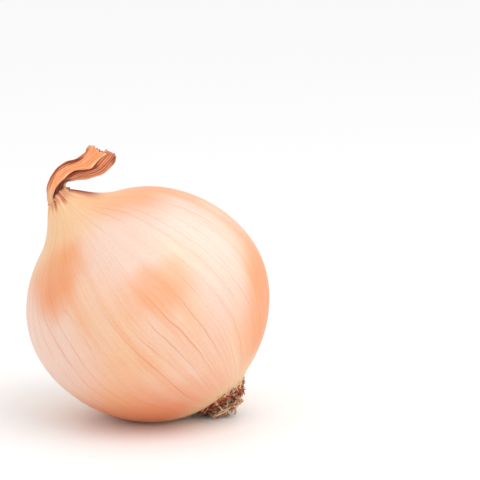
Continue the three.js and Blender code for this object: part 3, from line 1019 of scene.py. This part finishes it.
def root_walk(rng, radius, angle, length):
    """The middle line of one root, in upright millimetres."""
    dome_height = PLATE_DOME * (1 - (radius / PLATE_RADIUS) ** 2)
    base = -PLATE_FACE - dome_height + 0.5 - root_tilt(angle, radius / PLATE_RADIUS)
    place = np.array([radius * math.cos(angle) + SKIRT_SHIFT, radius * math.sin(angle), base])
    heading = np.array([0.25 * math.cos(angle), 0.25 * math.sin(angle), -1.0])
    bend = rng.normal(0, 1, 3)
    line = [place]
    for _ in range(int(length / ROOT_STEP)):
        bend = 0.8 * bend + rng.normal(0, 0.45, 3)
        heading = heading + 0.22 * bend
        reach = math.hypot(place[0] - SKIRT_SHIFT, place[1])
        deepest = PLATE_FACE + TUFT_DEPTH * math.sqrt(max(0.0, 1 - (reach / TUFT_RADIUS) ** 2))
        if -place[2] > deepest:
            heading[2] += 0.6
        if reach > TUFT_RADIUS - 0.8:
            heading[:2] -= 0.45 * place[:2] / reach
        real = placed(place) / MM
        if real[2] < GROUND_CLEARANCE + 0.8:
            heading = heading + 0.5 * AWAY_FROM_GROUND
        heading /= np.linalg.norm(heading)
        place = place + heading * ROOT_STEP
        low = GROUND_CLEARANCE - placed(place)[2] / MM
        if low > 0:
            place = place + low * AWAY_FROM_GROUND
        line.append(place)
    return np.array(line)


def swept(line, thickness, sides):
    """A tube of rings along a line, with its thickness at each point."""
    ahead = np.gradient(line, axis=0)
    ahead /= np.linalg.norm(ahead, axis=1, keepdims=True)
    side = np.cross(ahead[0], [0.3, 0.5, 0.8])
    rings = []
    for place, way, girth in zip(line, ahead, thickness):
        side = side - way * (side @ way)
        side /= np.linalg.norm(side)
        other = np.cross(way, side)
        turn = np.linspace(0, 2 * math.pi, sides, endpoint=False)[:, None]
        rings.append(place + girth * (np.cos(turn) * side + np.sin(turn) * other))
    return np.array(rings)


rng = np.random.default_rng(8)
points = []
tints = []
tips = []
faces = []
total = 0
for index in range(ROOT_COUNT):
    radius = (PLATE_RADIUS - 1.2) * math.sqrt((index + 0.5) / ROOT_COUNT)
    angle = index * math.pi * (3 - math.sqrt(5))
    line = root_walk(rng, radius, angle, rng.uniform(4.5, 11.5))
    share = np.linspace(0, 1, len(line))
    girth = rng.uniform(0.26, 0.56) * (1 - 0.4 * share) * (1 + 0.12 * np.sin(9 * share + index))
    girth[-1] *= 0.45
    rings = swept(line, girth, ROOT_SIDES)
    faces += net_faces(len(rings), ROOT_SIDES, closed=True, first=total)
    faces.append(tuple(range(total, total + ROOT_SIDES))[::-1])
    total += rings.shape[0] * ROOT_SIDES
    faces.append(tuple(range(total - ROOT_SIDES, total)))
    points.append(rings.reshape(-1, 3))
    tints.append(np.full(len(points[-1]), rng.uniform(0, 1)))
    tips.append(np.repeat(share, ROOT_SIDES))
marks = {"tint": np.concatenate(tints), "tip": np.concatenate(tips)}
tuft = make_piece("root_tuft", np.vstack(points), faces, marks, keep_above=0.1 * MM)
root_nodes = [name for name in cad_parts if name.startswith("root_") and name != "root_plate"]
finish_piece(tuft, root_skin, "root", *root_nodes)

# %% [markdown]
# ## Floor and light
#
# The onion lies on a plain white table in a bright studio. The light is soft from all round, with one
# large panel overhead and to the right. Its reflection is the broad pale sheen on the upper right.

# %% Floor
HALF_FLOOR = 3.0
corners = [(x * HALF_FLOOR, y * HALF_FLOOR, 0) for x, y in ((-1, -1), (1, -1), (1, 1), (-1, 1))]
floor_mesh = bpy.data.meshes.new("floor")
floor_mesh.from_pydata(corners, [], [(0, 1, 2, 3)])
floor = bpy.data.objects.new("floor", floor_mesh)
floor.location.z = -0.02 * MM
scene.collection.objects.link(floor)
table, tree, shader, place = new_material("white_table", 0.6, 0.3)
shader.inputs["Base Color"].default_value = (0.93, 0.93, 0.93, 1)
floor_mesh.materials.append(table)

# %% Light
world = bpy.data.worlds.new("studio")
scene.world = world
world.use_nodes = True
world.node_tree.nodes["Background"].inputs["Color"].default_value = (1, 1, 1, 1)
world.node_tree.nodes["Background"].inputs["Strength"].default_value = 1.0


def light_panel(name, toward, distance, width, height, watts, sheen_only=False):
    """A soft light on the side toward, facing the onion. A sheen-only one is just a reflection."""
    lamp = bpy.data.lights.new(name, "AREA")
    lamp.shape = "RECTANGLE"
    lamp.size = width
    lamp.size_y = height
    lamp.energy = watts
    panel = bpy.data.objects.new(name, lamp)
    direction = Vector(toward).normalized()
    panel.location = Vector(CENTRE) + direction * distance
    panel.rotation_euler = direction.to_track_quat("Z", "Y").to_euler()
    panel.visible_diffuse = not sheen_only
    scene.collection.objects.link(panel)


light_panel("overhead_panel", (0.4, -0.3, 0.85), 0.6, 0.5, 0.4, 1.0)
light_panel("sheen_panel", (0.6, -0.1, 0.7), 0.6, 1.0, 0.8, 5.4, sheen_only=True)

# %% [markdown]
# ## Camera
#
# The onion is seen from a little above, from the front, with a long lens, which keeps its sides from
# bulging. The onion sits to the lower left of the middle, so the camera aims beside and above it.

# %% Camera
RAISE = math.radians(12)
DISTANCE = 1200
LENS = 279
AIM_RIGHT = 30.2
AIM_UP = 20.1

up = Vector((0, math.sin(RAISE), math.cos(RAISE)))
toward_eye = Vector((0, -math.cos(RAISE), math.sin(RAISE)))
aim = Vector(CENTRE) + (Vector((AIM_RIGHT, 0, 0)) + up * AIM_UP) * MM
lens = bpy.data.cameras.new("camera")
lens.lens = LENS
lens.sensor_width = 36
lens.clip_start = 0.01
camera = bpy.data.objects.new("camera", lens)
camera.location = aim + toward_eye * DISTANCE * MM
camera.rotation_euler = toward_eye.to_track_quat("Z", "Y").to_euler()
scene.collection.objects.link(camera)
scene.camera = camera
scene.view_settings.view_transform = "Standard"
